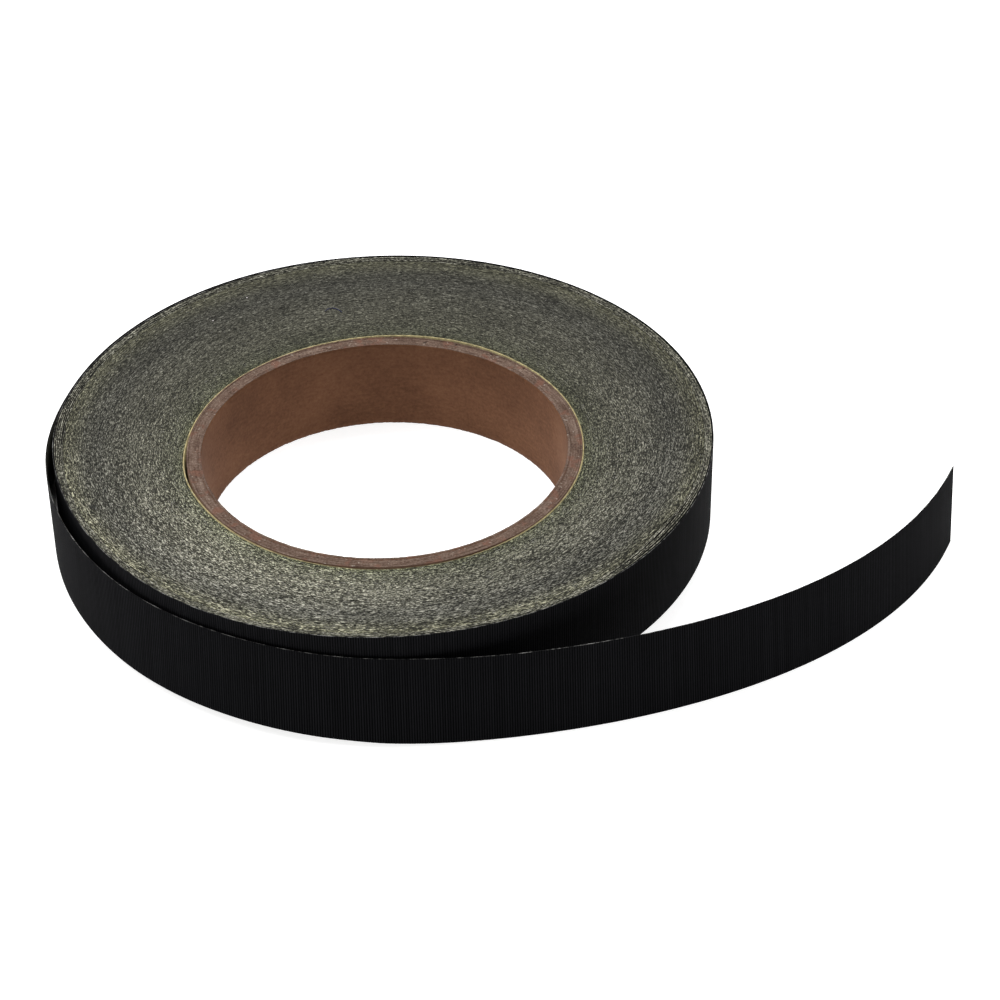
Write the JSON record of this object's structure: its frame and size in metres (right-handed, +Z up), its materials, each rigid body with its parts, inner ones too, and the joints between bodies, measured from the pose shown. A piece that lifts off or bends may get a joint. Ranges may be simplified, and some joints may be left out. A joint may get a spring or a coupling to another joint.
{
  "type": "grip tape roll",
  "caption": "Roll of black ribbed cloth adhesive tape on a paperboard core, slightly telescoped, with the last turn loose and its end standing free as a curved tail.",
  "frame": {"origin": "where the roll's axis meets the surface it lies on", "axes": "+Z up along the roll's axis, +X the way the free tail leaves the roll, -Y towards the tangent line where it leaves"},
  "size_m": [0.1832, 0.1353, 0.0246],
  "materials": {
    "kraft_liner": "matte",
    "grey_board": "matte",
    "kraft_wrap": "matte",
    "leader_paper": "matte",
    "tape_edges": "matte",
    "black_cloth": "satin",
    "adhesive": "satin"
  },
  "bodies": {
    "roll": {"core_liner": "kraft_liner", "core_board": "grey_board", "core_wrap": "kraft_wrap", "leader_strip": "leader_paper", "wound_turns": "tape_edges", "held_turn_cloth": "black_cloth", "held_turn_adhesive": "adhesive"},
    "loose_turn_1": {"loose_turn_1_cloth": "black_cloth", "loose_turn_1_adhesive": "adhesive"},
    "loose_turn_2": {"loose_turn_2_cloth": "black_cloth", "loose_turn_2_adhesive": "adhesive"},
    "tail_1": {"tail_1_cloth": "black_cloth", "tail_1_adhesive": "adhesive"},
    "tail_2": {"tail_2_cloth": "black_cloth", "tail_2_adhesive": "adhesive"},
    "tail_3": {"tail_3_cloth": "black_cloth", "tail_3_adhesive": "adhesive"},
    "tail_4": {"tail_4_cloth": "black_cloth", "tail_4_adhesive": "adhesive"},
    "tail_5": {"tail_5_cloth": "black_cloth", "tail_5_adhesive": "adhesive"},
    "tail_6": {"tail_6_cloth": "black_cloth", "tail_6_adhesive": "adhesive"}
  },
  "joints": [
    {"name": "turn_peel", "type": "hinge", "parent": "roll", "child": "loose_turn_1", "pos_m": [-0.05841, -0.03372, 0], "axis": [0, 0, 1], "range_deg": [-18, 0]},
    {"name": "turn_flex", "type": "hinge", "parent": "loose_turn_1", "child": "loose_turn_2", "pos_m": [-0.03372, -0.05841, 0], "axis": [0, 0, 1], "range_deg": [-18, 0]},
    {"name": "tail_flex_1", "type": "hinge", "parent": "loose_turn_2", "child": "tail_1", "pos_m": [0, -0.06745, 0], "axis": [0, 0, 1], "range_deg": [-6.5, 4.37]},
    {"name": "tail_curl", "type": "hinge", "parent": "tail_1", "child": "tail_2", "pos_m": [0.02247, -0.06678, 0], "axis": [0, 0, 1], "range_deg": [-23.8, 16]},
    {"name": "tail_flex_3", "type": "hinge", "parent": "tail_2", "child": "tail_3", "pos_m": [0.04468, -0.06328, 0], "axis": [0, 0, 1], "range_deg": [-13.77, 9.26]},
    {"name": "tail_flex_4", "type": "hinge", "parent": "tail_3", "child": "tail_4", "pos_m": [0.06616, -0.05667, 0], "axis": [0, 0, 1], "range_deg": [-12.34, 8.3]},
    {"name": "tail_flex_5", "type": "hinge", "parent": "tail_4", "child": "tail_5", "pos_m": [0.08612, -0.04639, 0], "axis": [0, 0, 1], "range_deg": [-8.36, 5.63]},
    {"name": "tail_flex_6", "type": "hinge", "parent": "tail_5", "child": "tail_6", "pos_m": [0.10318, -0.03182, 0], "axis": [0, 0, 1], "range_deg": [-4.37, 2.94]}
  ],
  "couplings": [
    {"joint": "turn_flex", "follows": "turn_peel", "ratio": 1},
    {"joint": "tail_flex_1", "follows": "tail_curl", "ratio": 0.2725},
    {"joint": "tail_flex_3", "follows": "tail_curl", "ratio": 0.578},
    {"joint": "tail_flex_4", "follows": "tail_curl", "ratio": 0.518},
    {"joint": "tail_flex_5", "follows": "tail_curl", "ratio": 0.351},
    {"joint": "tail_flex_6", "follows": "tail_curl", "ratio": 0.183}
  ]
}
